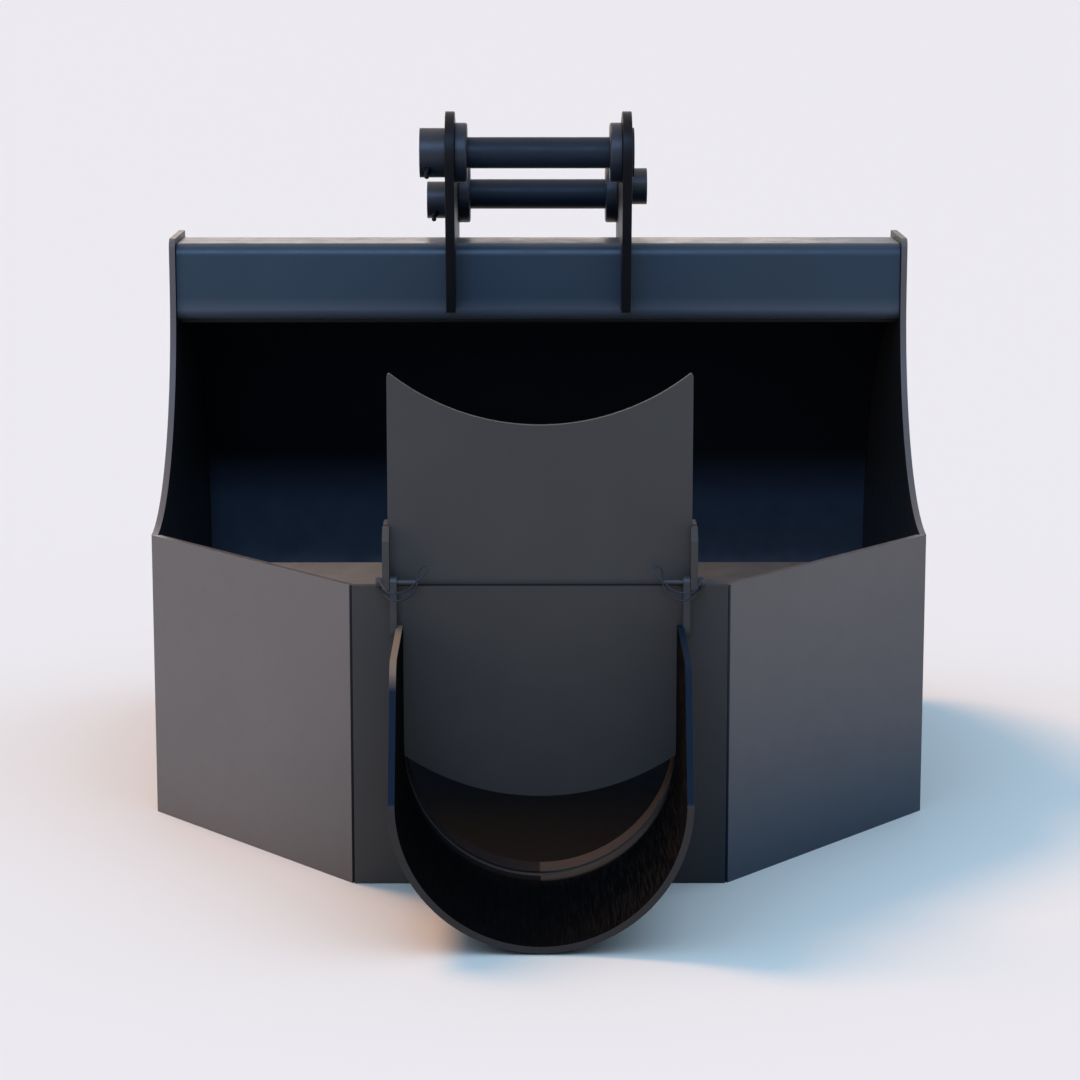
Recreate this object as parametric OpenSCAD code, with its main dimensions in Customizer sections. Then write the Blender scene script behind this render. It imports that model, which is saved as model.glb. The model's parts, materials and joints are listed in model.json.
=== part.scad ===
// Concrete pouring bucket for a small excavator: a wide bucket whose floor runs
// into a pointed prow, with a round-bottomed outlet, a lifting gate and a
// pinned-on half-round chute. Sizes are millimetres.

/* [Bucket] */
// Width over the side plates
width = 1200; // [1000:10:1500]
// Thickness of the side plates
side_t = 10; // [8:1:14]
// Inner radius of the curved back
back_r = 464; // [430:1:480]
// Inner radius of the heel, where back meets floor
heel_r = 252; // [220:1:270]
// Thickness of the rolled back
shell_t = 10; // [8:1:12]
// Thickness of the floor
floor_t = 10; // [8:1:12]
// Centre of the back radius, behind the front panel
back_y = 768; // [750:1:820]

/* [Mouth] */
// Front edge of the side plates at the lip beam
mouth_y = 720; // [700:1:730]
// Radius of the hollow front edge of the side plates
mouth_r = 346; // [330:1:360]
// Height of the lip beam
beam_h = 125; // [100:1:150]
// Depth of the lip beam
beam_d = 140; // [110:1:160]
// Wall of the lip beam
beam_wall = 8; // [5:1:12]
// Outer corner radius of the lip beam
beam_r = 20; // [14:1:28]
// Setback of the lip beam from the side plates' edge
beam_inset = 7; // [2:1:15]
// Distance from the lip beam's face to the front edge of the rolled back
shell_start = 60; // [45:1:100]
// Height of the side plates over the lip beam
side_over = 9; // [4:1:20]
// Reach of the side plates behind the lip beam
side_back = 13; // [5:1:30]
// Reach of the side plates' rear slope at its foot
side_slope = 45; // [20:1:60]
// Radius of the side plates' top front corners
side_corner = 15; // [8:1:30]

/* [Prow] */
// Height of the front wall
front_h = 442; // [400:1:470]
// Depth of the prow, from the front panel to the side plates
prow_d = 395; // [380:1:440]
// Width of the front panel
panel_w = 538; // [500:2:620]
// Thickness of the front wall plates
front_t = 12; // [10:1:15]
// Open groove at each front corner
groove = 4; // [2:0.5:6]
// Depth of the deck plate behind the front wall
deck_d = 173; // [140:1:200]
// Thickness of the deck plate
deck_t = 10; // [6:1:12]

/* [Outlet and chute] */
// Inner radius of the outlet and the chute
chute_r = 196; // [180:1:204]
// Thickness of the chute plate
chute_t = 10; // [6:1:12]
// Height of the sill under the outlet
sill = 12; // [12:1:16]
// Length of the chute along its bottom
chute_l = 336; // [280:1:400]
// Height of the chute's top edge
chute_top = 384; // [350:1:390]
// Length of the slope at the chute's front end
chute_rake = 96; // [80:1:150]
// Drop of the slope's foot under the height where the side walls start
chute_foot = 3; // [0:1:20]
// Radius between the chute's top edge and its front slope
chute_corner = 40; // [20:1:60]
// Reach of the outlet collar behind the gate
collar_l = 47; // [30:1:80]
// Drop of the outlet collar's ends under the height where the chute's walls start
collar_drop = 15; // [0:1:60]

/* [Gate] */
// Radius of the gate's curved top and bottom edges
gate_r = 345; // [320:1:400]
// Height of the outlet's curved top edge at the middle
outlet_top = 131; // [110:1:140]
// Height of the gate plate
gate_h = 537; // [500:1:560]
// Thickness of the gate plate
gate_t = 10; // [8:1:12]
// Reach of the gate into the slot of each guide
gate_grip = 3; // [2:0.5:6]
// Gap on each side of the gate in its slot
gate_gap = 0.4; // [0.2:0.1:1]
// Radius of the gate's top corners
gate_corner = 6; // [3:1:10]

/* [Guides and locking pins] */
// Thickness of the gate guides
guide_t = 10; // [8:1:12]
// Height of the guides over the deck
guide_h = 84.5; // [70:0.5:110]
// Reach of the guides in front of the panel
guide_front = 21; // [19:1:28]
// Reach of the guides behind the panel's front face
guide_back = 63; // [45:1:80]
// Depth of the guides' front part under the locking pins
guide_low = 9.2; // [8:0.1:12]
// Bevel at the guides' top front corner
guide_bevel = 16.5; // [8:0.5:20]
// Height over the deck of the bridge that closes the guides' slot outside the gate
guide_bridge = 25; // [15:1:40]
// Thickness of the chute's lugs
lug_t = 10; // [6:1:12]
// Reach of the lugs over the top edge of the chute's wall
lug_set = 2; // [1:0.5:4]
// Lap of the lugs down the outside of the chute's wall
lug_lap = 8; // [5:1:40]
// Radius of the lugs' round top
lug_r = 9.3; // [8:0.1:10.5]
// Height of the locking pins over the deck
pin_over = 6.7; // [5:0.1:8]
// Distance of the locking pins in front of the panel
pin_front = 11; // [10.5:0.1:12]
// Diameter of the locking pins
pin_d = 8; // [6:0.5:9]
// Length of the locking pins without the head
pin_l = 50.5; // [45:0.5:60]
// Diameter of the locking pins' heads
head_d = 14.5; // [12:0.5:16]
// Length of the locking pins' heads
head_l = 9; // [8:0.5:12]
// Bevel at the locking pins' tips
tip_bevel = 2; // [1:0.5:3]
// Diameter of the bails' wire
wire_d = 2.8; // [2.5:0.1:3.6]
// Lean of the bails' axis towards the front at the top
bail_tilt = 25; // [15:1:35]
// Radial clearance of pins in their bores
pin_clear = 0.1; // [0.05:0.01:0.1]
// Clearance beside the guides, to the lugs and to the locking pins' heads
side_clear = 0.5; // [0.3:0.1:1]

/* [Hitch] */
// Distance between the hitch ears
ear_gap = 268; // [250:1:300]
// Thickness of the hitch ears
ear_t = 15; // [12:1:20]
// Place of the front hitch pin behind the front panel
front_pin_y = 680; // [670:1:690]
// Height of the front hitch pin
front_pin_z = 1012; // [1000:1:1030]
// Distance of the rear hitch pin behind the front one
pin_spacing = 280; // [260:1:300]
// Drop of the rear hitch pin
pin_drop = 88; // [70:1:100]
// Diameter of the hitch pins
hitch_d = 50; // [45:1:55]
// Diameter of the inner bosses
boss_d = 96; // [86:1:104]
// Length of the inner bosses
boss_l = 20; // [15:1:24]
// Bevel of the inner bosses' free rims
boss_bevel = 2; // [1:0.5:4]
// Radius of the ears round the front pin
ear_r = 66; // [60:1:72]
// Radius of the ears round the rear pin
rear_ear_r = 58; // [54:1:64]
// Lean of the ears' front foot before the front pin
ear_lean = 15; // [5:1:25]
// Height of the ears' front foot over the beam's underside
ear_foot = 20; // [20:1:40]
// Reach of the ears' rear edge behind the rear pin
ear_rear = 45; // [30:1:50]
// Diameter of the front pin's head
front_head_d = 79; // [72:1:84]
// Length of the front pin's head
front_head_l = 41; // [30:1:50]
// Diameter of the front pin's washer
front_ring_d = 80; // [72:1:84]
// Thickness of the front pin's washer
front_ring_t = 4; // [3:0.5:6]
// Diameter of the rear pin's head
rear_head_d = 62; // [56:1:70]
// Length of the rear pin's head
rear_head_l = 38; // [30:1:45]
// Drop of the rear pin's eccentric head
head_drop = 10; // [0:1:12]
// Diameter of the rear pin's cap
cap_d = 61; // [52:1:66]
// Length of the rear pin's cap
cap_l = 35; // [25:1:40]
// Rise of the rear pin's eccentric cap
cap_rise = 13; // [0:1:16]
// Distance of the grease nipples from the heads' ends
nipple_in = 12; // [10:1:18]
// Lean of the grease nipples, down and towards the front
nipple_lean = 50; // [0:1:80]

/* [Hidden] */
$fn = 96;
eps = 0.01;
lap = 1;
seat_gap = 0.3;
floor_gap = 0.5;
big = 3000;

// places worked out from the sizes above
half_w = width / 2;
in_w = half_w - side_t;
shell_z = floor_t + heel_r;
heel_y = back_y + back_r - heel_r;
back_end = back_y + back_r + shell_t;
beam_z = shell_z + back_r + shell_t;
beam_y = mouth_y + beam_inset;
beam_top = beam_z + beam_h;
side_top = beam_top + side_over;
panel_x = panel_w / 2;
mouth_cy = mouth_y - mouth_r;
mouth_cz = front_h + sqrt(mouth_r * mouth_r - pow(prow_d - mouth_cy, 2));
chute_z = sill + chute_r;
chute_out = chute_r + chute_t;
slot_y = front_t + gate_gap;
slot_w = gate_t + 2 * gate_gap;
lug_in = chute_out - lug_set;
guide_in = lug_in + lug_t + side_clear;
gate_half = guide_in + gate_grip;
gate_low = outlet_top + 3;
pin_y = -pin_front;
pin_z = front_h + pin_over;
head_in = guide_in + guide_t + side_clear;
head_mid = head_in + head_l / 2;
rear_pin_y = front_pin_y + pin_spacing;
rear_pin_z = front_pin_z - pin_drop;
ear_in = ear_gap / 2;
ear_out = ear_in + ear_t;

// the front end of the chute and the back of the shell set the footprint's middle
mid_y = (back_end - chute_l) / 2;

// moves a piece from the drawing place, with the panel's face at y = 0, to the row frame
module placed() {
  translate([0, -mid_y, 0]) children();
}

// turns a drawing in the y-z plane into a plate across x, from x0 to x1
module plate_x(x0, x1) {
  translate([x0, 0, 0]) rotate([90, 0, 90]) linear_extrude(x1 - x0) children();
}

// turns a drawing in the x-z plane into a plate along y, from y0 to y1
module plate_y(y0, y1) {
  translate([0, y1, 0]) rotate([90, 0, 0]) linear_extrude(y1 - y0) children();
}

module mirrored() {
  mirror([1, 0, 0]) children();
}

// ring sector drawn between two radii, kept where it meets the given window
module ring_part(r0, r1, window_at, window_size) {
  intersection() {
    difference() {
      circle(r1);
      circle(r0);
    }
    translate(window_at) square(window_size);
  }
}

// the rolled back: one large radius down from the lip beam, then the heel
module back_shell() {
  color("#26282d") placed() plate_x(-in_w, in_w) {
    translate([back_y, shell_z])
      ring_part(back_r, back_r + shell_t, [beam_y - back_y + shell_start, 0], [big, big]);
    translate([heel_y, shell_z])
      ring_part(heel_r, heel_r + shell_t, [0, -big], [big, big]);
  }
}

// run of the wing panel's outer face, from the side plate to the groove corner
wing_run = [half_w - panel_x - 2, prow_d];
wing_len = norm(wing_run);
// x of the wing's outer and inner faces at a given y, on the right-hand side
function wing_out_x(y) = half_w - (prow_d - y) * wing_run[0] / wing_run[1];
function wing_in_x(y) = wing_out_x(y) - front_t * wing_len / wing_run[1];
// y of the wing's outer and inner faces at a given x
function wing_out_y(x) = prow_d - (half_w - x) * wing_run[1] / wing_run[0];
function wing_in_y(x) = wing_out_y(x) + front_t * wing_len / wing_run[0];

// the flat floor: full width behind the prow, then narrowing to the front panel
module floor_plate() {
  front_x = panel_x - floor_gap;
  rear_x = min(in_w, wing_in_x(prow_d));
  color("#2a2c31") placed() linear_extrude(floor_t)
    polygon([
      [-in_w, heel_y], [-in_w, prow_d], [-rear_x, prow_d], [-front_x, wing_in_y(front_x)],
      [-front_x, front_t], [front_x, front_t],
      [front_x, wing_in_y(front_x)], [rear_x, prow_d], [in_w, prow_d], [in_w, heel_y]
    ]);
}

// side plate outline: hollow front edge, rounded top corner, back following the shell
module side_outline() {
  column_back = beam_y + beam_d + side_back;
  column_foot = column_back + side_slope;
  shoulder_z = side_top - side_corner;
  difference() {
    union() {
      polygon([
        [prow_d, 0], [heel_y, 0], [heel_y, shell_z], [column_foot, shell_z],
        [column_foot, shell_z + 0.9 * back_r], [column_back, side_top],
        [mouth_y + side_corner, side_top], [mouth_y + side_corner, shoulder_z],
        [mouth_y, shoulder_z], [mouth_y, mouth_cz], [prow_d, mouth_cz]
      ]);
      translate([mouth_y + side_corner, shoulder_z]) circle(side_corner);
      upper_disc(back_y, back_r + shell_t);
      lower_disc(heel_y, heel_r + shell_t);
    }
    translate([mouth_cy, mouth_cz]) circle(mouth_r);
  }
}

// the rear upper quarter of a disc round the shell's centre height
module upper_disc(y, r) {
  intersection() {
    translate([y, shell_z]) circle(r);
    translate([y - lap, shell_z]) square([r + 2 * lap, r + lap]);
  }
}

// the rear lower quarter of a disc round the shell's centre height
module lower_disc(y, r) {
  intersection() {
    translate([y, shell_z]) circle(r);
    translate([y - lap, shell_z - r - lap]) square([r + 2 * lap, r + 2 * lap]);
  }
}

module side_plate_right() {
  color("#303238") placed() plate_x(in_w, half_w) side_outline();
}

module side_plate_left() {
  color("#303238") placed() plate_x(-half_w, -in_w) side_outline();
}

module rounded_box(w, h, r) {
  union() {
    translate([r, 0]) square([w - 2 * r, h]);
    translate([0, r]) square([w, h - 2 * r]);
    for (x = [r, w - r], z = [r, h - r])
      translate([x, z]) circle(r);
  }
}

// hollow box beam along the lip
module lip_beam() {
  color("#22262e") placed() plate_x(-in_w, in_w)
    translate([beam_y, beam_z]) difference() {
      rounded_box(beam_d, beam_h, beam_r);
      translate([beam_wall, beam_wall])
        rounded_box(beam_d - 2 * beam_wall, beam_h - 2 * beam_wall, beam_r - beam_wall);
    }
}

// flat slanted panel between the side plate and the front panel
module wing_panel_right() {
  corner_x = panel_x + groove;
  color("#3a383a") placed() linear_extrude(front_h)
    polygon([
      [half_w, prow_d],
      [corner_x, wing_out_y(corner_x)],
      [panel_x, front_t * 0.6],
      [panel_x, wing_in_y(panel_x)],
      [wing_in_x(prow_d), prow_d]
    ]);
}

module wing_panel_left() {
  mirrored() wing_panel_right();
}

// area of the outlet: the round bottom under the gate-shaped curved top
module outlet_shape() {
  difference() {
    translate([0, chute_z]) circle(chute_r);
    translate([0, outlet_top + gate_r]) circle(gate_r);
  }
}

module front_panel() {
  color("#3a383a") placed() plate_y(0, front_t)
    difference() {
      translate([-panel_x, 0]) square([panel_w, front_h]);
      outlet_shape();
    }
}

// deck behind the front wall, notched for the gate
module deck_plate() {
  notch_x = gate_half + 2 * lap;
  color("#4a484a") placed() translate([0, 0, front_h - deck_t]) linear_extrude(deck_t)
    difference() {
      polygon([
        [-panel_x, front_t], [-panel_x, wing_in_y(panel_x)],
        [-wing_in_x(deck_d), deck_d], [wing_in_x(deck_d), deck_d],
        [panel_x, wing_in_y(panel_x)], [panel_x, front_t]
      ]);
      translate([-notch_x, front_t - lap])
        square([2 * notch_x, slot_y + slot_w - front_t + lap]);
    }
}

// short round sill behind the gate, let into the floor
module outlet_collar() {
  y0 = slot_y + slot_w;
  color("#3a383a") placed() plate_y(y0, y0 + collar_l)
    difference() {
      translate([0, chute_z]) circle(chute_out);
      translate([0, chute_z]) circle(chute_r);
      translate([0, outlet_top + gate_r]) circle(gate_r);
      translate([-chute_out - lap, chute_z - collar_drop]) square([2 * (chute_out + lap), big]);
      translate([-chute_out - lap, floor_t - big]) square([2 * (chute_out + lap), big]);
    }
}

// lifting gate: curved bottom edge that seals the outlet, hollow top edge
module gate_outline() {
  arc_low = gate_low + gate_r;
  arc_top = gate_low + gate_h + gate_r;
  side_z = arc_top - sqrt(gate_r * gate_r - gate_half * gate_half);
  difference() {
    intersection() {
      union() {
        translate([-gate_half, 0]) square([2 * gate_half, side_z - gate_corner * 1.4]);
        translate([-gate_half + gate_corner, 0])
          square([2 * (gate_half - gate_corner), side_z + lap]);
        for (x = [-gate_half + gate_corner, gate_half - gate_corner])
          translate([x, side_z - gate_corner * 1.4]) circle(gate_corner);
      }
      union() {
        translate([0, arc_low]) circle(gate_r);
        translate([-gate_half, arc_low - gate_r * 0.7]) square([2 * gate_half, big]);
      }
    }
    translate([0, arc_top]) circle(gate_r);
  }
}

module gate_plate() {
  color("#414145") placed() plate_y(slot_y + gate_gap, slot_y + gate_gap + gate_t)
    gate_outline();
}

// guide bracket: stands on the deck, grooved for the gate, bored for the locking pin
module gate_guide_right() {
  top = front_h + guide_h;
  low = pin_z - guide_low;
  color("#3c3d42") placed() difference() {
    plate_x(guide_in, guide_in + guide_t)
      polygon([
        [-guide_front, low], [0, low], [0, front_h], [guide_back, front_h],
        [guide_back, top], [-guide_front + guide_bevel, top], [-guide_front, top - guide_bevel]
      ]);
    plate_x(guide_in - lap, gate_half + gate_gap)
      translate([slot_y, front_h - lap]) square([slot_w, guide_h + 2 * lap]);
    plate_x(guide_in - lap, guide_in + guide_t + lap)
      translate([slot_y, front_h + guide_bridge]) square([slot_w, guide_h]);
    disc_x(guide_in - lap, guide_t + 2 * lap, [pin_y, pin_z], pin_d / 2 + pin_clear);
  }
}

module gate_guide_left() {
  mirrored() gate_guide_right();
}

// side view of the chute: long bottom, sloping front end, rounded top corner
module chute_side_outline() {
  foot_z = chute_z - chute_foot;
  slope = atan2(chute_top - foot_z, chute_rake);
  corner = [-chute_l + chute_rake + chute_corner * tan(slope / 2), chute_top - chute_corner];
  polygon(concat(
    [[-chute_l, -lap], [-chute_l, foot_z]],
    [for (k = [8:-1:0]) corner + chute_corner * [cos(90 + slope * k / 8), sin(90 + slope * k / 8)]],
    [[-seat_gap, chute_top], [-seat_gap, -lap]]
  ));
}

// half-round trough with straight side walls
module chute_trough() {
  color("#2b2b2e") placed() intersection() {
    plate_y(-chute_l - lap, 0) difference() {
      union() {
        translate([0, chute_z]) circle(chute_out);
        translate([-chute_out, chute_z]) square([2 * chute_out, chute_top]);
      }
      translate([0, chute_z]) circle(chute_r);
      translate([-chute_r, chute_z]) square([2 * chute_r, big]);
    }
    plate_x(-chute_out - lap, chute_out + lap) chute_side_outline();
  }
}

// lug on the chute wall's top edge, hung on the locking pin
module chute_lug_right() {
  low = chute_top - lug_lap;
  color("#3c3d42") placed() difference() {
    union() {
      plate_x(lug_in, lug_in + lug_t)
        translate([pin_y - lug_r, chute_top]) square([2 * lug_r, pin_z - chute_top]);
      plate_x(chute_out, lug_in + lug_t)
        translate([pin_y - lug_r, low]) square([2 * lug_r, pin_z - low]);
      disc_x(lug_in, lug_t, [pin_y, pin_z], lug_r);
    }
    disc_x(lug_in - lap, lug_t + 2 * lap, [pin_y, pin_z], pin_d / 2 + pin_clear);
  }
}

module chute_lug_left() {
  mirrored() chute_lug_right();
}

// the bail turns about an axis across the pin's head, tipped forward at the top
bail_b = [0, -cos(bail_tilt), -sin(bail_tilt)];
bail_t = [0, -sin(bail_tilt), cos(bail_tilt)];
bail_x = [-1, 0, 0];
bail_at = [head_mid, pin_y, pin_z];
function bail_point(p) = bail_at + p[0] * bail_x + p[1] * bail_t + p[2] * bail_b;

// straight pin with a cross-bored head
module lock_pin_right() {
  tip = head_in - pin_l;
  color("#3c3d42") placed() difference() {
    union() {
      disc_x(head_in, head_l, [pin_y, pin_z], head_d / 2);
      disc_x(tip + tip_bevel, pin_l, [pin_y, pin_z], pin_d / 2);
      translate([tip, pin_y, pin_z]) rotate([0, 90, 0])
        cylinder(h = tip_bevel + eps, d1 = pin_d - tip_bevel, d2 = pin_d);
    }
    translate(bail_at) rotate([bail_tilt, 0, 0])
      cylinder(h = head_d + 2 * lap, r = wire_d / 2 + pin_clear, center = true);
  }
}

module lock_pin_left() {
  mirrored() lock_pin_right();
}

// the wire's centre line: along the pin, across it, and out from it
upper_wire = [
  [0, 5, 0], [0, 8, 0], [0, 9.6, 0.5], [1, 9.6, 6], [3.4, 9, 13.8], [6, 8.6, 21], [9.5, 8.3, 28],
  [12.5, 8, 33], [16, 7.5, 35.7], [20, 7.3, 36.4], [29, 7, 35.4], [37, 7, 32.6], [42, 7, 29],
  [46.5, 7.5, 22], [50.5, 8, 15], [54.6, 9, 11], [60, 12, 5.6], [66, 15.5, 0.9],
  [68.5, 18, -3], [69, 20.5, -6.5], [67, 22.5, -9]
];
lower_wire = [
  [0, -5, 0], [0, -8, 0], [0, -9.6, 0.5], [2, -9.4, 6], [5, -9.2, 12], [8.5, -9, 18.5],
  [12, -8.8, 24.5], [16, -8.5, 29.5], [21, -8.3, 32.5], [27.6, -8, 33.8], [34, -7.8, 32.3],
  [40, -7.5, 29], [45, -7.2, 24.5], [49, -6.4, 19.5], [51.5, -4, 13.5], [53.5, -0.5, 8],
  [55.5, 4, 3.5], [55.3, 9, -1], [55, 14.5, -4.5], [56.5, 18, -6], [60, 21, -7.6], [64, 22.6, -9]
];
function reversed(a) = [for (i = [len(a) - 1:-1:0]) a[i]];
wire_route = [for (p = concat(upper_wire, reversed(lower_wire))) bail_point(p)];

function unit(v) = v / norm(v);
// rings of a round tube along a route, each square to the route's local direction
function route_dir(r, i) = unit(r[min(i + 1, len(r) - 1)] - r[max(i - 1, 0)]);
function ring_points(c, d, rad, n) =
  let (a = unit(cross(d, abs(d * bail_t) > 0.9 ? bail_b : bail_t)), b = cross(d, a))
  [for (k = [0:n - 1]) c + rad * (cos(360 * k / n) * a + sin(360 * k / n) * b)];
// turns a ring's start so that it follows the ring before it without a twist
function nearest_start(prev, ring) =
  let (n = len(ring), d = [for (k = [0:n - 1]) norm(ring[k] - prev)])
  search(min(d), d)[0];
function turned(ring, s) = [for (k = [0:len(ring) - 1]) ring[(k + s) % len(ring)]];
function rings(r, rad, n, i = 0, done = []) =
  i == len(r) ? done :
  let (
    raw = ring_points(r[i], route_dir(r, i), rad, n),
    ring = i == 0 ? raw : turned(raw, nearest_start(done[i - 1][0], raw))
  )
  rings(r, rad, n, i + 1, concat(done, [ring]));

module tube(route, rad, n) {
  loops = rings(route, rad, n);
  m = len(loops);
  pts = [for (l = loops) each l];
  faces = concat(
    [[for (k = [0:n - 1]) k]],
    [for (i = [0:m - 2], k = [0:n - 1])
      [i * n + k, (i + 1) * n + k, (i + 1) * n + (k + 1) % n, i * n + (k + 1) % n]],
    [[for (k = [n - 1:-1:0]) (m - 1) * n + k]]
  );
  polyhedron(points = pts, faces = faces, convexity = 6);
}

// sprung wire that closes over the pin's tip
module lock_bail_right() {
  color("#9a9da2") placed() tube(wire_route, wire_d / 2, 8);
}

module lock_bail_left() {
  mirrored() lock_bail_right();
}

// the point where a line from p touches the circle round c, on its left or right side
function touch_point(p, c, r, side) =
  let (a = atan2(p[1] - c[1], p[0] - c[0]) + side * acos(r / norm(p - c)))
  c + r * [cos(a), sin(a)];

// hitch ear: two eyes joined by a sloping top, cut to sit on the beam and the shell
module hitch_ear(x0) {
  foot_z = beam_z + ear_foot;
  foot = [front_pin_y - ear_lean, foot_z];
  heel = [rear_pin_y + ear_rear, shell_z + 0.8 * back_r];
  front_eye = [front_pin_y, front_pin_z];
  rear_eye = [rear_pin_y, rear_pin_z];
  top_a = atan2(-pin_drop, pin_spacing) + acos((ear_r - rear_ear_r) / norm(rear_eye - front_eye));
  top_dir = [cos(top_a), sin(top_a)];
  color("#2e3036") placed() difference() {
    union() {
      plate_x(x0, x0 + ear_t) polygon([
        foot, touch_point(foot, front_eye, ear_r, -1), front_eye + ear_r * top_dir,
        rear_eye + rear_ear_r * top_dir, touch_point(heel, rear_eye, rear_ear_r, 1), heel,
        [back_y, foot_z - 60], [beam_y + beam_r, foot_z - 60], [beam_y + beam_r, foot_z]
      ]);
      disc_x(x0, ear_t, front_eye, ear_r);
      disc_x(x0, ear_t, rear_eye, rear_ear_r);
    }
    plate_x(x0 - lap, x0 + ear_t + lap) {
      translate([beam_y, beam_z]) rounded_box(beam_d, beam_h, beam_r);
      translate([beam_y + beam_r, beam_z - 100]) square([beam_d - beam_r, 100 + beam_r]);
      translate([back_y, shell_z]) circle(back_r + shell_t);
    }
    disc_x(x0 - lap, ear_t + 2 * lap, front_eye, hitch_d / 2 + pin_clear);
    disc_x(x0 - lap, ear_t + 2 * lap, rear_eye, hitch_d / 2 + pin_clear);
  }
}

// disc across x, centred on a point of the y-z plane
module disc_x(x0, t, centre, r) {
  translate([x0, centre[0], centre[1]]) rotate([0, 90, 0]) cylinder(h = t, r = r);
}

module hitch_ear_right() { hitch_ear(ear_in); }
module hitch_ear_left() { hitch_ear(-ear_out); }

// round bar or ring along x
module bar_x(x0, x1, y, z, d) {
  disc_x(x0, x1 - x0, [y, z], d / 2);
}

// boss inside an ear, bevelled at its free rim
module boss(side, y, z) {
  color("#26292f") placed() translate([side * ear_in, y, z]) rotate([0, -90 * side, 0])
    rotate_extrude() polygon([
      [hitch_d / 2 + pin_clear, 0], [boss_d / 2, 0], [boss_d / 2, boss_l - boss_bevel],
      [boss_d / 2 - boss_bevel, boss_l], [hitch_d / 2 + pin_clear, boss_l]
    ]);
}

module front_boss_left() { boss(-1, front_pin_y, front_pin_z); }
module front_boss_right() { boss(1, front_pin_y, front_pin_z); }
module rear_boss_left() { boss(-1, rear_pin_y, rear_pin_z); }
module rear_boss_right() { boss(1, rear_pin_y, rear_pin_z); }

// hitch pin: a plain bar through both ears and their bosses
module hitch_pin(y, z) {
  color("#1f232a") placed() bar_x(-ear_out, ear_out, y, z, hitch_d);
}

module front_hitch_pin() { hitch_pin(front_pin_y, front_pin_z); }
module rear_hitch_pin() { hitch_pin(rear_pin_y, rear_pin_z); }

module front_pin_head() {
  color("#2a2d33") placed()
    bar_x(-ear_out - front_head_l, -ear_out, front_pin_y, front_pin_z, front_head_d);
}

module front_pin_ring() {
  color("#2a2d33") placed()
    bar_x(ear_out, ear_out + front_ring_t, front_pin_y, front_pin_z, front_ring_d);
}

module rear_pin_head() {
  color("#2a2d33") placed()
    bar_x(-ear_out - rear_head_l, -ear_out, rear_pin_y, rear_pin_z - head_drop, rear_head_d);
}

module rear_pin_cap() {
  color("#2a2d33") placed()
    bar_x(ear_out, ear_out + cap_l, rear_pin_y, rear_pin_z + cap_rise, cap_d);
}

// grease nipple: hexagon, waist and round tip, pointing out of a pin's head
module nipple(x, y, z, r) {
  translate([x, y, z]) rotate([180 - nipple_lean, 0, 0]) translate([0, 0, r - lap]) {
    cylinder(h = 6, d = 15, $fn = 6);
    translate([0, 0, 6 - eps]) cylinder(h = 5, d1 = 10, d2 = 7);
    translate([0, 0, 10.5]) cylinder(h = 6, d = 5.5);
    translate([0, 0, 16]) sphere(d = 8);
  }
}

module grease_nipples() {
  front_x = -ear_out - front_head_l + nipple_in;
  rear_x = -ear_out - rear_head_l + nipple_in;
  color("#9c9c9a") placed() {
    nipple(front_x, front_pin_y, front_pin_z, front_head_d / 2);
    nipple(rear_x, rear_pin_y, rear_pin_z - head_drop, rear_head_d / 2);
  }
}

back_shell();
floor_plate();
side_plate_left();
side_plate_right();
lip_beam();
wing_panel_left();
wing_panel_right();
front_panel();
deck_plate();
outlet_collar();
gate_plate();
gate_guide_left();
gate_guide_right();
chute_trough();
chute_lug_left();
chute_lug_right();
lock_pin_left();
lock_pin_right();
lock_bail_left();
lock_bail_right();
hitch_ear_left();
hitch_ear_right();
front_boss_left();
front_boss_right();
rear_boss_left();
rear_boss_right();
front_hitch_pin();
front_pin_head();
front_pin_ring();
rear_hitch_pin();
rear_pin_head();
rear_pin_cap();
grease_nipples();
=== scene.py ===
# %% [markdown]
# A concrete pouring bucket for a small excavator, dressed for a picture. The shapes
# come from the CAD model, which is a fixed frame that nothing here may move. This
# lesson adds what steel has and a drawing lacks: softened edges, paint with a skin,
# places where concrete has worn it, light and shade painted into the coat where the
# lamps fall short, and the light of a photographer's studio.

# %% The frame
import json
import math

import bpy
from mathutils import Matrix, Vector


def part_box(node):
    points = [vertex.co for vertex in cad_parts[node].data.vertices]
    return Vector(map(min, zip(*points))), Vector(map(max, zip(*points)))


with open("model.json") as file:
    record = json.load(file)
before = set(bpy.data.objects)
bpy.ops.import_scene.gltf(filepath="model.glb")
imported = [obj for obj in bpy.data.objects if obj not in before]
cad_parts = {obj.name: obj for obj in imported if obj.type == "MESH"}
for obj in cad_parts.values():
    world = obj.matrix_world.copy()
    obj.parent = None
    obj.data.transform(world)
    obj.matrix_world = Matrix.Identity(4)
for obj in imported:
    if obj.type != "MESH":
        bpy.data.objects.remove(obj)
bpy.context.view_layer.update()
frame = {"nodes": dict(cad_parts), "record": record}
nodes = frame["nodes"]
MM = 0.001
print("pieces from the CAD model:", len(nodes))

# %% [markdown]
# Plates that are cut and rolled have crisp edges, but never knife edges: a grinder
# takes about a millimetre off them before painting. That tiny round catches the light
# along every edge. Drawn in the CAD model it would be thousands of faces that no
# maker draws, so here a bevel modifier adds it to each piece. Turned parts have a
# wider round than plates, and pieces that meet closely have a smaller one.

# %% Edge kinds
EDGE_ROUND = {
    "plate": 1.2 * MM,
    "bar": 1.5 * MM,
    "small": 0.5 * MM,
}
SMALL_PIECES = (
    "lock_pin", "grease_nipples", "front_pin_ring", "front_panel", "outlet_collar",
    "chute", "deck", "wing_panel", "gate",
)
BAR_PIECES = ("front_pin_head", "rear_pin_head", "rear_pin_cap", "front_boss", "rear_boss")


def edge_kind(name):
    if name.startswith(SMALL_PIECES):
        return "small"
    if name.startswith(BAR_PIECES):
        return "bar"
    return "plate"


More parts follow.
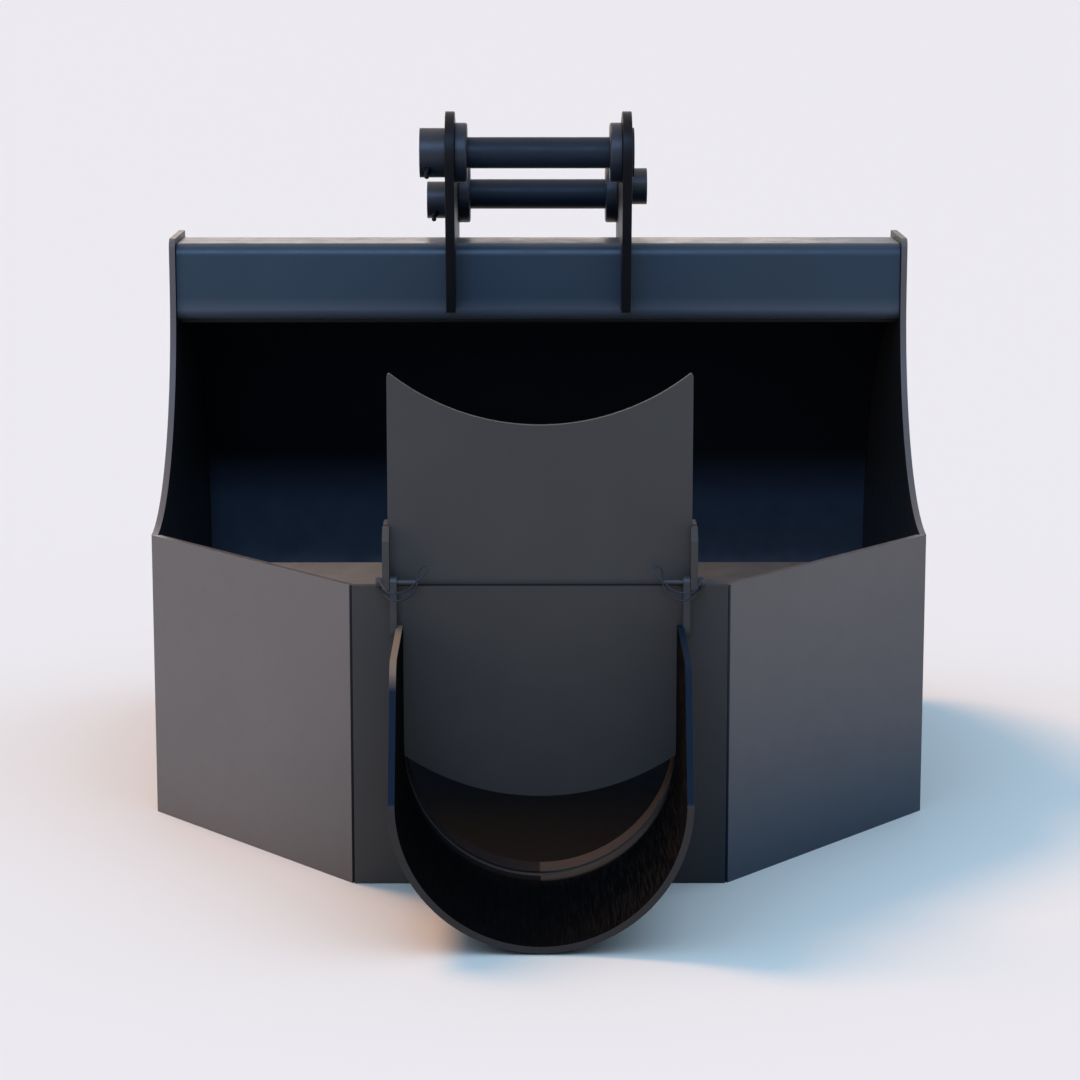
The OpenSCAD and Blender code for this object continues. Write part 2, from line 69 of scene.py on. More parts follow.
print("small edges:", sum(edge_kind(name) == "small" for name in nodes))

# %% [markdown]
# The imported meshes are split where faces meet, so a weld modifier joins their points
# before the bevel runs. Weighted normals come last: they keep the broad faces flat in
# the light, and let only the narrow rounds shade.

# %% Softened edges
JOIN_WITHIN = 0.01 * MM
SHARP_ANGLE = math.radians(32)
ROUND_STEPS = 2


def join_points(obj):
    obj.data.shade_smooth()
    weld = obj.modifiers.new("join points", "WELD")
    weld.merge_threshold = JOIN_WITHIN


def soften(obj, width):
    join_points(obj)
    bevel = obj.modifiers.new("ground edges", "BEVEL")
    bevel.width = width
    bevel.segments = ROUND_STEPS
    bevel.limit_method = "ANGLE"
    bevel.angle_limit = SHARP_ANGLE
    bevel.harden_normals = True
    flat = obj.modifiers.new("flat faces", "WEIGHTED_NORMAL")
    flat.keep_sharp = True


ground = [name for name in nodes if not name.startswith("lock_bail")]
for name in ground:
    soften(nodes[name], EDGE_ROUND[edge_kind(name)])
print("softened:", len(ground))

# %% [markdown]
# The two locking bails are spring wire, bent round. The CAD tube has eight flat sides.
# More sides in the CAD would make it heavy, so one pass of subdivision rounds it here.

# %% Bails
for side in ("left", "right"):
    bail = nodes[f"lock_bail_{side}"]
    join_points(bail)
    rounder = bail.modifiers.new("round wire", "SUBSURF")
    rounder.levels = 1
    rounder.render_levels = 1
print("bails rounded")

# %% [markdown]
# Every colour here is written the way a painter would pick it, as a screen hex value,
# and one function turns it into the linear numbers that Blender's shaders expect. The
# bare numbers in it are those of the sRGB standard.

# %% Colour helper
def linear(hex_colour):
    parts = [int(hex_colour[i : i + 2], 16) / 255 for i in (1, 3, 5)]
    lin = [c / 12.92 if c <= 0.04045 else ((c + 0.055) / 1.055) ** 2.4 for c in parts]
    return (*lin, 1.0)


print("half grey in linear light:", round(linear("#808080")[0], 3))


# %% [markdown]
# A second small function adds a node to a material, sets its values and links it, so
# that a material reads as a list of what it is made of.

# %% Node helpers
def add(mat, kind, values=None, links=None, **settings):
    node = mat.node_tree.nodes.new(kind)
    for key, value in settings.items():
        setattr(node, key, value)
    for key, value in (values or {}).items():
        node.inputs[key].default_value = value
    for key, source in (links or {}).items():
        mat.node_tree.links.new(source, node.inputs[key])
    return node


def new_material(name):
    mat = bpy.data.materials.new(name)
    mat.use_nodes = True
    mat.node_tree.nodes.clear()
    return mat


print("helpers ready:", add.__name__, new_material.__name__)

# %% [markdown]
# The whole bucket is dressed in one kind of finish: powder coat on blasted steel
# plate. Powder is sprayed on dry and melts into a skin about a tenth of a millimetre
# thick. The eye reads it by three things: a faint orange peel that ripples the
# highlights, a broad soft sheen, and slow drifts of tone where dust and handling have
# dulled it. One flat colour would look like moulded plastic, and a picture of paint
# would have one size only. Noise that is measured in millimetres fits every piece.

# %% Powder coat sizes
PEEL_SIZE = 4.0 * MM  # the real peel is 1 to 2 mm; it is drawn coarser so that it shows
PEEL_DEPTH = 0.3 * MM
SCUFF_SIZE = 38 * MM  # the size of marks from gloves and sleeves
SCUFF_SPAN = (0.3, 0.7)
GLOSS_SWING = (-0.05, 0.07)  # a scuff dulls the skin more than a wipe polishes it
DRIFT_SIZE = 260 * MM  # the size of a cloud of dust
DRIFT_SPAN = (0.35, 0.75)
COAT_IOR = 1.5  # cured polyester powder
print("peel, scuffs and drifts, mm:", [s / MM for s in (PEEL_SIZE, SCUFF_SIZE, DRIFT_SIZE)])


# %% Powder coat
def powder_coat(name, base, dusty, roughness, peel=0.06, specular=0.3):
    mat = new_material(name)
    place = add(mat, "ShaderNodeTexCoord").outputs["Object"]
    drift = add(
        mat, "ShaderNodeTexNoise",
        {"Scale": 1 / DRIFT_SIZE, "Detail": 3.0, "Roughness": 0.55}, {"Vector": place},
    )
    scuff = add(
        mat, "ShaderNodeTexNoise",
        {"Scale": 1 / SCUFF_SIZE, "Detail": 6.0, "Roughness": 0.7}, {"Vector": place},
    )
    tone = add(
        mat, "ShaderNodeMapRange",
        {"From Min": DRIFT_SPAN[0], "From Max": DRIFT_SPAN[1], "To Min": 0.0, "To Max": 1.0},
        {"Value": drift.outputs["Fac"]},
    )
    colour = add(
        mat, "ShaderNodeMix", {"A": linear(base), "B": linear(dusty)},
        {"Factor": tone.outputs["Result"]}, data_type="RGBA",
    )
    gloss = add(
        mat, "ShaderNodeMapRange",
        {
            "From Min": SCUFF_SPAN[0], "From Max": SCUFF_SPAN[1],
            "To Min": roughness + GLOSS_SWING[0], "To Max": roughness + GLOSS_SWING[1],
        },
        {"Value": scuff.outputs["Fac"]},
    )
    skin = add(
        mat, "ShaderNodeTexNoise", {"Scale": 1 / PEEL_SIZE, "Detail": 2.0}, {"Vector": place},
    )
    bump = add(
        mat, "ShaderNodeBump",
        {"Strength": peel, "Distance": PEEL_DEPTH}, {"Height": skin.outputs["Fac"]},
    )
    coat = add(
        mat, "ShaderNodeBsdfPrincipled",
        {"Metallic": 0.0, "IOR": COAT_IOR, "Specular IOR Level": specular},
        {
            "Base Color": colour.outputs["Result"],
            "Roughness": gloss.outputs["Result"],
            "Normal": bump.outputs["Normal"],
        },
    )
    coat.name = "coat"
    add(mat, "ShaderNodeOutputMaterial", links={"Surface": coat.outputs["BSDF"]})
    return mat


print("powder coat ready")


# %% [markdown]
# Paint changes over a piece: concrete scratches it and dust drifts over it, and
# some faces also go bluer, darker or paler slowly, which is the studio's light and
# shade. A few plain lamps can't give that, so here that light and shade are painted
# into the coat. Each change is a colour laid over the coat through a mask, and the
# mask is worked out from the piece's own coordinates, so it stays on the steel in
# every pose and view.

# %% A colour over the coat
def recolour(mat, colour, mask, rougher=0.0):
    """Lay another colour over the coat wherever the mask is 1."""
    coat = mat.node_tree.nodes["coat"]
    if rougher:
        gloss = coat.inputs["Roughness"].links[0].from_socket
        grind = add(mat, "ShaderNodeMath", {1: rougher}, {0: mask}, operation="MULTIPLY")
        dull = add(
            mat, "ShaderNodeMath", links={0: gloss, 1: grind.outputs["Value"]}, operation="ADD",
        )
        mat.node_tree.links.new(dull.outputs["Value"], coat.inputs["Roughness"])
    under = coat.inputs["Base Color"].links[0].from_socket
    over = add(
        mat, "ShaderNodeMix", {"B": linear(colour)}, {"Factor": mask, "A": under},
        data_type="RGBA",
    )
    mat.node_tree.links.new(over.outputs["Result"], coat.inputs["Base Color"])


print("overpaint ready")


# %% Straight masks
def own_xyz(mat):
    """The three coordinates of the piece itself."""
    place = add(mat, "ShaderNodeTexCoord").outputs["Object"]
    return add(mat, "ShaderNodeSeparateXYZ", links={"Vector": place}).outputs


def ramp(mat, axis, start, end):
    """0 before start and 1 past end, along one axis."""
    step = add(
        mat, "ShaderNodeMapRange",
        {"From Min": start, "From Max": end}, {"Value": own_xyz(mat)[axis]},
    )
    return step.outputs["Result"]


def both(mat, one, other):
    joined = add(mat, "ShaderNodeMath", links={0: one, 1: other}, operation="MULTIPLY")
    return joined.outputs["Value"]


def band(mat, axis, half, fade):
    """1 up to half each side of the middle, less a fade at its ends."""
    rise = ramp(mat, axis, -half, -half + fade)
    return both(mat, rise, ramp(mat, axis, half, half - fade))


print("straight masks ready")


# %% [markdown]
# The bowl and the chute are rolled, and their inside carries painted shade that
# their outside doesn't. A round mask finds it: the distance from the roll's centre is
# less than the roll's radius.

# %% Round mask
def inside_tube(mat, across, centre, radius, half="MINIMUM"):
    """1 inside a round seen along its axis, of which one half runs on straight.

    MINIMUM keeps the round below its centre, as in a trough, and MAXIMUM above it.
    """
    xyz = own_xyz(mat)
    over = add(mat, "ShaderNodeMath", {1: -centre[0]}, {0: xyz[across[0]]}, operation="ADD")
    up = add(mat, "ShaderNodeMath", {1: -centre[1]}, {0: xyz[across[1]]}, operation="ADD")
    kept = add(mat, "ShaderNodeMath", {1: 0.0}, {0: up.outputs["Value"]}, operation=half)
    spoke = add(
        mat, "ShaderNodeCombineXYZ",
        links={"X": over.outputs["Value"], "Z": kept.outputs["Value"]},
    )
    reach = add(
        mat, "ShaderNodeVectorMath", links={0: spoke.outputs["Vector"]}, operation="LENGTH",
    )
    inner = add(
        mat, "ShaderNodeMath", {1: radius}, {0: reach.outputs["Value"]}, operation="LESS_THAN",
    )
    return inner.outputs["Value"]


print("round mask ready")


# %% [markdown]
# Wet concrete is full of grit, which draws long fine scratches the way that it slides.
# Noise that is stretched along y draws them.

# %% Scratches
SCRATCH_SPAN = (0.45, 0.75)


def scratches(mat, width, length):
    """1 on scratches along y, and 0 between them."""
    place = add(mat, "ShaderNodeTexCoord").outputs["Object"]
    drawn = add(
        mat, "ShaderNodeMapping",
        {"Scale": (1 / width, 1 / length, 1 / width)}, {"Vector": place},
    )
    grain = add(
        mat, "ShaderNodeTexNoise", {"Scale": 1.0, "Detail": 3.0, "Roughness": 0.6},
        {"Vector": drawn.outputs["Vector"]},
    )
    step = add(
        mat, "ShaderNodeMapRange",
        {"From Min": SCRATCH_SPAN[0], "From Max": SCRATCH_SPAN[1]},
        {"Value": grain.outputs["Fac"]},
    )
    return step.outputs["Result"]


print("scratches ready")

# %% [markdown]
# The prow's wings are flat plates, folded and welded, in satin coat. The left one
# faces the warm light and shows its full sheen, with painted shade darkening it
# towards the front panel's foot. The right one turns away from it, and is a shaded
# copy of the same coat, painted from warm grey at its top to dark blue at its foot,
# as painted shade where the studio's cool side shows in it.

# %% Wing coats
# Satin powder coat: the high specular level gives the eye a broad pale sheen.
left_wing_coat = powder_coat(
    "satin_powder_coat_plates", "#433e3e", "#474242", 0.37, specular=0.9,
)
NEAR_PANEL_X = (-0.42, -0.22)
DOWN_LEFT_Z = (0.5, 0.0)
near_panel = ramp(left_wing_coat, "X", *NEAR_PANEL_X)
near_foot = ramp(left_wing_coat, "Z", *DOWN_LEFT_Z)
# Painted shade: the coat goes darker towards the front panel and the foot.
recolour(left_wing_coat, "#1f1c1d", both(left_wing_coat, near_panel, near_foot))

# A shaded copy of the same coat, turned from the light: a quieter sheen, and painted blue shade
# towards the foot.
right_wing_shaded_coat = powder_coat(
    "satin_powder_coat_right_wing_painted_shade", "#4e494a", "#524d4e", 0.37, specular=0.5,
)
DOWN_RIGHT_Z = (0.40, 0.02)
# Painted shade: dark blue towards the foot.
recolour(right_wing_shaded_coat, "#10263a", ramp(right_wing_shaded_coat, "Z", *DOWN_RIGHT_Z))
print("wing coats made")

# %% [markdown]
# The deck is the narrow shelf behind the front panel, where spilt concrete is scraped
# off after each pour. Its coat is painted paler than its neighbours, as painted
# sunlight, and darker towards the right, as painted shade.

# %% Deck coat
# Powder coat with painted sunlight: paler and warmer, it gives the eye a bright line at the
# prow's top.
deck_coat = powder_coat("powder_coat_deck_painted_light", "#5c534b", "#61584f", 0.4, specular=0.6)
DECK_SHADE_X = (-0.15, 0.3)
# Painted shade: darker towards the right.
recolour(deck_coat, "#363333", ramp(deck_coat, "X", *DECK_SHADE_X))
print("deck coat made")

# %% [markdown]
# The gate and the front panel lie one behind the other and look almost alike. The
# panel's top edge carries a painted dark line, as shade, where the gate's slot opens
# behind it, and its right side is painted blue downwards, as painted shade, as the
# right wing is.

# %% Gate and panel coats
# Satin powder coat, a shade rougher: it gives the eye an even grey face with no glare.
gate_coat = powder_coat("satin_powder_coat_gate", "#333231", "#3a3937", 0.46)
panel_coat = powder_coat("satin_powder_coat_front", "#2e2d2c", "#343331", 0.46)
PANEL_RIGHT_X = (0.12, 0.26)
PANEL_DOWN_Z = (0.35, 0.0)
right_side = ramp(panel_coat, "X", *PANEL_RIGHT_X)
right_low = both(panel_coat, right_side, ramp(panel_coat, "Z", *PANEL_DOWN_Z))
# Painted shade: blue towards the right side's foot.
recolour(panel_coat, "#0c1722", right_low)

panel_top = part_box("front_panel")[1][2]
slot_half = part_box("gate_plate")[1][0]
SLOT_FADE = 1 * MM
TOP_FACE = (0.9 * MM, 0.6 * MM)  # the first and last depth of the edge's dark line
SLOT_DULL = 0.3
# Painted shadow: a dark line along the top edge, over the gate's slot.
at_slot = band(panel_coat, "X", slot_half, SLOT_FADE)
top_face = ramp(panel_coat, "Z", panel_top - TOP_FACE[0], panel_top - TOP_FACE[1])
recolour(panel_coat, "#050506", both(panel_coat, at_slot, top_face), rougher=SLOT_DULL)
print("slot's half width, mm:", round(slot_half / MM, 1))

# %% [markdown]
# The beam is a rolled box section, bought smooth and coated before it is welded on, so
# its skin has less peel. Its face looks at the cool softbox in front. The lower bend
# turns away, and is painted paler, as a painted highlight.

# %% Beam coat
# Semi-gloss powder coat: it gives the eye a smooth blue face and a bright top.
beam_coat = powder_coat(
    "semi_gloss_powder_coat_beam", "#192e3e", "#1d3445", 0.37, peel=0.03, specular=0.32,
)
BEAM_HIGHLIGHT_Z = (0.774, 0.752)
# Painted highlight: paler on the lower bend.
recolour(beam_coat, "#3c4752", ramp(beam_coat, "Z", *BEAM_HIGHLIGHT_Z))
print("beam coat made")

# %% [markdown]
# The back is one sheet in two bends, a wide one for the back and a tight one for the
# heel. Outside it is coated like the wings. Inside, painted shade makes it nearly
# black, darker still low down and along its front edge. So the mask follows the two
# bends, and stops half a millimetre inside the sheet.

# %% Bowl coat
SHELL_T = 10 * MM
BACK_R = 464 * MM
HEEL_R = 252 * MM
ROLL_Z = 262 * MM
INTO_SHEET = 0.5 * MM
SHADED_LOW_Z = (0.34, 0.22)
SHEET_EDGE_Y = (0.36, 0.35)
back_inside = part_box("back_shell")[1][1] - SHELL_T
# Satin powder coat with painted shade inside: it gives the eye a dark hollow with one blue
# band.
shell_coat = powder_coat(
    "satin_powder_coat_bowl", "#544f4f", "#595454", 0.42, specular=0.2,
)
back_centre = (back_inside - BACK_R, ROLL_Z)
heel_centre = (back_inside - HEEL_R, ROLL_Z)
back_roll = inside_tube(shell_coat, "YZ", back_centre, BACK_R + INTO_SHEET, half="MAXIMUM")
heel_roll = inside_tube(shell_coat, "YZ", heel_centre, HEEL_R + INTO_SHEET)
bowl_inside = both(shell_coat, back_roll, heel_roll)
# Painted shade: nearly black inside the bowl, darker still low down.
recolour(shell_coat, "#101418", bowl_inside)
shaded_low = both(shell_coat, bowl_inside, ramp(shell_coat, "Z", *SHADED_LOW_Z))
recolour(shell_coat, "#090b0e", shaded_low)
# Painted shade: darker along the sheet's front edge.
recolour(shell_coat, "#0b0d10", ramp(shell_coat, "Y", *SHEET_EDGE_Y))
print("bowl's inner back at y, mm:", round(back_inside / MM, 1))

# %% [markdown]
# The side plates close the bowl's ends. They too are darkened inside with painted
# shade and grey outside, so the mask is everything between their inner faces.

# %% Side coat
SIDE_FACE = 0.6 * MM
SIDE_FADE = 0.4 * MM
# Satin powder coat, as on the bowl: grey outside, and a face inside darkened with painted
# shade.
side_coat = powder_coat(
    "satin_powder_coat_sides", "#544f4f", "#595454", 0.42, specular=0.2,
)
side_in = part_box("side_plate_right")[0][0]
# Painted shade: darker on the inner faces.
recolour(side_coat, "#15191c", band(side_coat, "X", side_in + SIDE_FACE, SIDE_FADE))
print("side plate's inner face, mm:", round(side_in / MM, 1))

# %% [markdown]
# The chute is a sheet rolled to a half round. Its outside keeps its coat, and its two
# front edges are painted blue, as a painted reflection of the cool light, with a
# painted warm highlight at the left edge's top.

# %% Chute coat and edges
CHUTE_INNER_R = 196.4 * MM
CHUTE_CENTRE_Z = 208 * MM
EDGE_FACE = 9.2 * MM
EDGE_START = 2 * MM
PALE_END_Z = (0.348, 0.37)
LEFT_HALF_X = (0.0, -0.1)
# Satin powder coat with hardly any sheen: it gives the eye the line of the sheet's edge.
chute_coat = powder_coat(
    "satin_powder_coat_chute", "#34302e", "#383533", 0.5, specular=0.02,
)
chute_centre = (0.0, CHUTE_CENTRE_Z)
in_sheet = inside_tube(chute_coat, "XZ", chute_centre, CHUTE_INNER_R + EDGE_FACE)
upper = ramp(chute_coat, "Z", CHUTE_CENTRE_Z - EDGE_START, CHUTE_CENTRE_Z + EDGE_START)
edge_faces = both(chute_coat, in_sheet, upper)
# Painted reflection: blue on the upper front edges.
recolour(chute_coat, "#141f2c", edge_faces)
highlight_end = ramp(chute_coat, "Z", *PALE_END_Z)
left_top = both(chute_coat, highlight_end, ramp(chute_coat, "X", *LEFT_HALF_X))
# Painted highlight: pale and warm at the left edge's top.
recolour(chute_coat, "#705f51", both(chute_coat, edge_faces, left_top))
print("chute's edges painted")

# %% [markdown]
# Inside, the concrete slides down the trough, grinds its coat dull and draws fine
# scratches. The trough lies in the gate's shade, painted in as near black, and the
# scratches are painted browner on the right, as a painted highlight where light
# grazes them.

# %% Chute trough
TROUGH_DULL = 0.3
SCRATCH_WIDTH = 3 * MM  # real ones are under 1 mm wide, too fine to show from here
SCRATCH_LENGTH = 60 * MM
SCRATCH_LIGHT_X = (0.0, 0.2)
trough = inside_tube(chute_coat, "XZ", chute_centre, CHUTE_INNER_R)
# Painted shade: near black inside the trough.
recolour(chute_coat, "#040506", trough, rougher=TROUGH_DULL)
scratched = both(chute_coat, trough, scratches(chute_coat, SCRATCH_WIDTH, SCRATCH_LENGTH))
recolour(chute_coat, "#0e0d0d", scratched)
# Painted highlight: the scratches browner towards the right.
lit_scratches = both(chute_coat, scratched, ramp(chute_coat, "X", *SCRATCH_LIGHT_X))
recolour(chute_coat, "#211b18", lit_scratches)
print("trough shaded and scratched")

# %% [markdown]
# Where the chute starts, under the outlet, a band round its bottom is painted
# lighter, as painted light that reaches it through the outlet. Its right half is
# painted lighter still, where that light falls, with a thin dark seam between the halves.

# %% Chute inlet
INLET_DEPTH = (30 * MM, 16 * MM)
INLET_Z = (0.16, 0.08)
HALVES_FADE = 1 * MM
SEAM_HALF = 0.8 * MM
SEAM_FADE = 0.1 * MM
inlet_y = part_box("chute_trough")[1][1]
at_inlet = ramp(chute_coat, "Y", inlet_y - INLET_DEPTH[0], inlet_y - INLET_DEPTH[1])
low = both(chute_coat, at_inlet, ramp(chute_coat, "Z", *INLET_Z))
inlet = both(chute_coat, trough, low)
# Painted light: a lighter band at the chute's start.
recolour(chute_coat, "#161516", inlet)
right_half = ramp(chute_coat, "X", -HALVES_FADE, HALVES_FADE)
# Painted light: lighter again on the right half.
recolour(chute_coat, "#423a34", both(chute_coat, inlet, right_half))
seam = band(chute_coat, "X", SEAM_HALF, SEAM_FADE)
recolour(chute_coat, "#020203", both(chute_coat, trough, seam))
print("chute starts at y, mm:", round(inlet_y / MM, 1))

# %% [markdown]
# The collar lines the outlet's lower edge, and the bucket's floor lies behind it. Both
# are in the flow all the time, so their coat is ground dull. The collar's right half is
# painted lighter, as painted light, and the floor is painted near black, as painted
# shade.

# %% Collar and floor coats
# Ground-dull powder coat: the low specular level gives the eye a dark rim with no glare.
collar_coat = powder_coat(
    "dull_powder_coat_collar_painted_light", "#1d1b1b", "#232021", 0.5, specular=0.12,
)
# Painted light: lighter on the right half.
recolour(collar_coat, "#443c36", ramp(collar_coat, "X", -HALVES_FADE, HALVES_FADE))
# The same on the floor, rougher still and painted near black as shade: it gives the eye the
# black of the open outlet.
floor_plate_coat = powder_coat(
    "dull_powder_coat_floor_painted_shade", "#06080b", "#090b0e", 0.6, specular=0.12,
)
print("collar and floor coats made")

# %% [markdown]
# The hitch is the part that the arm holds. Its ears are flame-cut plate and its bosses
# and heads are turned. They are coated with the bucket and later wiped with grease, so
# they are nearly black, and the turned parts shine a little more than the plates.

# %% Hitch coats
# Satin powder coat, greasy and nearly black: it gives the eye a clear dark outline.
ear_coat = powder_coat("satin_powder_coat_hitch", "#090c11", "#0d1015", 0.4, specular=0.12)
# The same on turned steel, a shade lighter: it gives the eye round, soft highlights.
boss_coat = powder_coat("satin_powder_coat_bosses", "#1b222b", "#1f2630", 0.4, specular=0.3)
# Blackened steel pins under oil: they are smooth, so they have half of the peel.
pin_coat = powder_coat(
    "oiled_black_hitch_pins", "#18202a", "#1d2631", 0.4, peel=0.03, specular=0.12,
)
print("hitch coats made")

# %% [markdown]
# The locks hold the chute: two pins through its lugs, each kept by a wire bail. They
# are bought ready made and painted with the chute.

# %% Lock coats
# Painted lock hardware: it gives the eye small mid-grey shapes against the gate.
lock_coat = powder_coat("painted_lock_hardware", "#2e2f31", "#343537", 0.4, peel=0.02)
# Spring steel wire, blackened: it is the smoothest, for a thin highlight along its bend.
wire_coat = powder_coat(
    "spring_steel_wire", "#1b2430", "#212b38", 0.35, peel=0.02, specular=0.25,
)
print("lock coats made")

# %% [markdown]
# Each piece wears the coat of its material slot in the CAD record, unless it has one
# of its own here. The meshes aren't touched: the coat is put on the object.

# %% Who wears what
FINISH = {
    "bucket_steel": left_wing_coat,
    "beam_steel": beam_coat,
    "gate_steel": gate_coat,
    "chute_steel": chute_coat,
    "hitch_paint": ear_coat,
    "pin_steel": pin_coat,
    "lock_steel": lock_coat,
}
OWN_FINISH = {
    "lock_bail_left": wire_coat,
    "lock_bail_right": wire_coat,
    "floor_plate": floor_plate_coat,
    "outlet_collar": collar_coat,
    "chute_lug_left": lock_coat,
    "chute_lug_right": lock_coat,
    "back_shell": shell_coat,
    "side_plate_left": side_coat,
    "side_plate_right": side_coat,
    "wing_panel_right": right_wing_shaded_coat,
    "deck_plate": deck_coat,
    "front_panel": panel_coat,
    "grease_nipples": ear_coat,
}
TURNED_PIECES = (
    "front_boss_left", "front_boss_right", "rear_boss_left", "rear_boss_right",
    "front_pin_head", "rear_pin_head", "rear_pin_cap",
)
OWN_FINISH.update({name: boss_coat for name in TURNED_PIECES})
for part in frame["record"]["subparts"]:
    node = part["node"]
    finish = OWN_FINISH.get(node, FINISH[part["material_slot"]])
    for material_slot in nodes[node].material_slots:
        material_slot.link = "OBJECT"
        material_slot.material = finish
print("pieces with a coat of their own:", len(OWN_FINISH))

# %% [markdown]
# The studio's floor is a sheet of matt pale paper, so large that its far edge is the
# horizon.

# %% Floor
STUDIO_WHITE = "#edebee"
FLOOR_HALF = 150.0
corners = [(-1, -1), (1, -1), (1, 1), (-1, 1)]
floor_points = [(x * FLOOR_HALF, y * FLOOR_HALF, 0.0) for x, y in corners]
floor_mesh = bpy.data.meshes.new("studio_floor")
floor_mesh.from_pydata(floor_points, [], [(0, 1, 2, 3)])
floor = bpy.data.objects.new("studio_floor", floor_mesh)
bpy.context.scene.collection.objects.link(floor)
# Uncoated paper: rough, with hardly any gloss, it gives the eye nothing but the shadow.
paper = new_material("matt_studio_paper")
paper_skin = add(
    paper, "ShaderNodeBsdfPrincipled",
    {"Base Color": linear(STUDIO_WHITE), "Roughness": 0.9, "Specular IOR Level": 0.1},
)
add(paper, "ShaderNodeOutputMaterial", links={"Surface": paper_skin.outputs["BSDF"]})
floor_mesh.materials.append(paper)
print("floor, m across:", 2 * FLOOR_HALF)

# %% [markdown]
# The world does two jobs. What the camera, a mirror or a clear material sees is a
# plain white backdrop, the same as the paper. What lights the object is a cool sky
# that is dim at the horizon and bright overhead, and it tints the shadow blue.

# %% World
SKY_COLOUR = "#c2e2f6"
SKY_STRENGTH = {"To Min": 0.15, "To Max": 1.9}  # at the horizon and overhead
world = bpy.data.worlds.new("studio_sky")
bpy.context.scene.world = world
world.use_nodes = True
world.node_tree.nodes.clear()
ray_place = add(world, "ShaderNodeTexCoord").outputs["Generated"]
height = add(world, "ShaderNodeSeparateXYZ", links={"Vector": ray_place}).outputs["Z"]
overhead = add(world, "ShaderNodeMath", links={0: height, 1: height}, operation="MULTIPLY")
ceiling = add(
    world, "ShaderNodeMapRange", SKY_STRENGTH, {"Value": overhead.outputs["Value"]},
)
sky = add(
    world, "ShaderNodeBackground",
    {"Color": linear(SKY_COLOUR)}, {"Strength": ceiling.outputs["Result"]},
)
backdrop = add(
    world, "ShaderNodeBackground", {"Color": linear(STUDIO_WHITE), "Strength": 1.0},
)
rays = add(world, "ShaderNodeLightPath").outputs
seen = add(
    world, "ShaderNodeMath",
    links={0: rays["Is Camera Ray"], 1: rays["Is Glossy Ray"]}, operation="MAXIMUM",
)
shown = add(
    world, "ShaderNodeMath",
    links={0: seen.outputs["Value"], 1: rays["Is Transmission Ray"]}, operation="MAXIMUM",
)
choose = add(
    world, "ShaderNodeMixShader",
    links={
        "Fac": shown.outputs["Value"],
        1: sky.outputs["Background"],
        2: backdrop.outputs["Background"],
    },
)
add(world, "ShaderNodeOutputWorld", links={"Surface": choose.outputs["Shader"]})
print("world:", world.name)


# %% [markdown]
# A photographer lights a black object mainly by what it mirrors. The key light is a
# warm sun high behind the bucket's left. It brightens the top edges and throws the
# shadow forward and to the right, and its wide angle softens the shadow's edge. Three
# softboxes, at the left, in front and behind, give the plates their sheen.

# %% Key light
LOOK_AT = (0, 0, 0.4)
WARM_LIGHT = "#ffbc7c"
COOL_LIGHT = "#9cc4ff"
SUN_FROM = (-0.54, 0.48, 1.0)
SUN_SOFTNESS = math.radians(20)


def lamp(name, kind, energy, colour, place, target=LOOK_AT, **settings):
    data = bpy.data.lights.new(name, kind)
    data.energy = energy
    data.color = linear(colour)[:3]
    for key, value in settings.items():
        setattr(data, key, value)
    obj = bpy.data.objects.new(name, data)
    obj.location = place
    aim = Vector(target) - Vector(place)
    obj.rotation_euler = aim.to_track_quat("-Z", "Y").to_euler()
    bpy.context.scene.collection.objects.link(obj)
    return obj


key_sun = lamp(
    "key_sun", "SUN", 1.7, WARM_LIGHT, SUN_FROM, (0, 0, 0), angle=SUN_SOFTNESS,
)
print("key light:", key_sun.name)

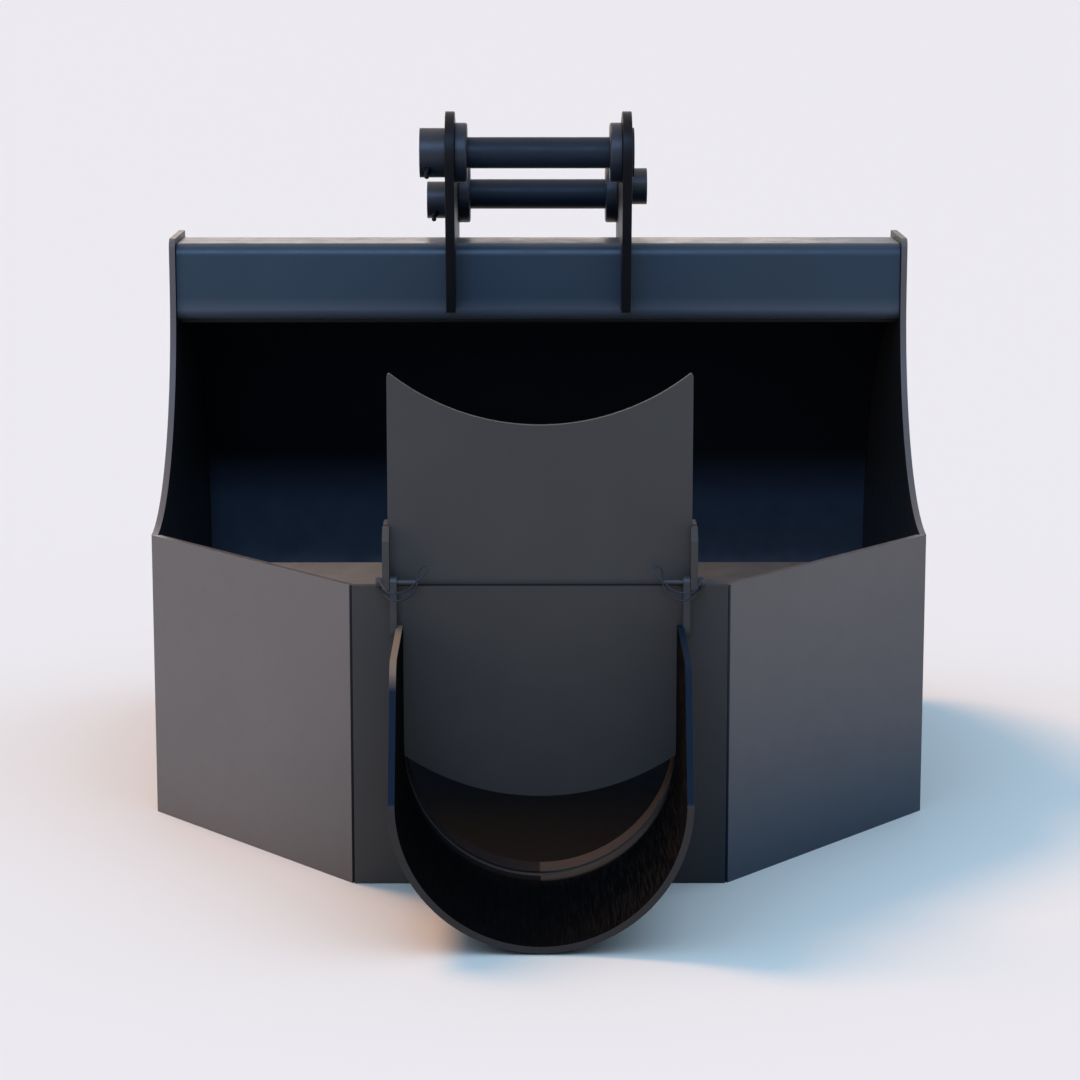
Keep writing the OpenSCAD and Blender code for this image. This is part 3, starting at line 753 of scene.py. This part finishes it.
# %% Softboxes
softboxes = [
    lamp("left_softbox", "AREA", 75, "#ffd8bc", (-4.2, -2.6, 1.6), size=2.4),
    lamp(
        "front_softbox", "AREA", 230, COOL_LIGHT, (-0.6, -4.8, 4.6), (0, 0.6, 0.5),
        size=3.0,
    ),
    lamp(
        "back_softbox", "AREA", 52, "#ffe8d6", (-1.3, 6.2, 2.2), (0, 0.4, 0.9),
        shape="RECTANGLE", size=5.0, size_y=1.6,
    ),
]
print("softboxes:", len(softboxes))

# %% [markdown]
# The bowl's blue band comes from one more softbox, small and far, whose light just
# passes under the beam. Light linking gives it the back shell alone, and keeps the
# other softboxes off the paper, so that only the sun draws a shadow there.

# %% Light linking
bowl_softbox = lamp(
    "bowl_softbox", "AREA", 1080, COOL_LIGHT, (-0.5, -4.89, 4.44), (0, 0.77, 0.33),
    size=0.6,
)
bowl = bpy.data.collections.new("lit_by_bowl_softbox")
bowl.objects.link(nodes["back_shell"])
bowl_softbox.light_linking.receiver_collection = bowl
spared = bpy.data.collections.new("not_lit_by_softboxes")
spared.objects.link(floor)
spared.collection_objects[0].light_linking.link_state = "EXCLUDE"
for softbox in softboxes:
    softbox.light_linking.receiver_collection = spared
for softbox in (*softboxes, bowl_softbox):
    softbox.visible_camera = False
print("lamps:", len((key_sun, *softboxes, bowl_softbox)))

# %% [markdown]
# The camera stands where the photographer's did: about four and a half metres in
# front, looking down by ten and a half degrees through a long lens, so that the
# verticals barely converge.

# %% Camera
LENS_MM = 107.7
SENSOR_MM = 36.0
SEES_TO = 500.0
panel_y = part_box("front_panel")[0][1]
CAMERA_PLACE = (-0.017, panel_y - 4.525, 1.358)
CAMERA_TARGET = (0.0, panel_y, 0.508)
camera_data = bpy.data.cameras.new("camera")
camera_data.lens = LENS_MM
camera_data.sensor_width = SENSOR_MM
camera_data.clip_end = SEES_TO
camera = bpy.data.objects.new("camera", camera_data)
camera.location = CAMERA_PLACE
camera.rotation_mode = "QUATERNION"
look = Vector(CAMERA_TARGET) - Vector(CAMERA_PLACE)
camera.rotation_quaternion = look.to_track_quat("-Z", "Y")
bpy.context.scene.collection.objects.link(camera)
bpy.context.scene.camera = camera
bpy.context.scene.view_settings.view_transform = "Standard"
print("camera distance, m:", round(look.length, 3))
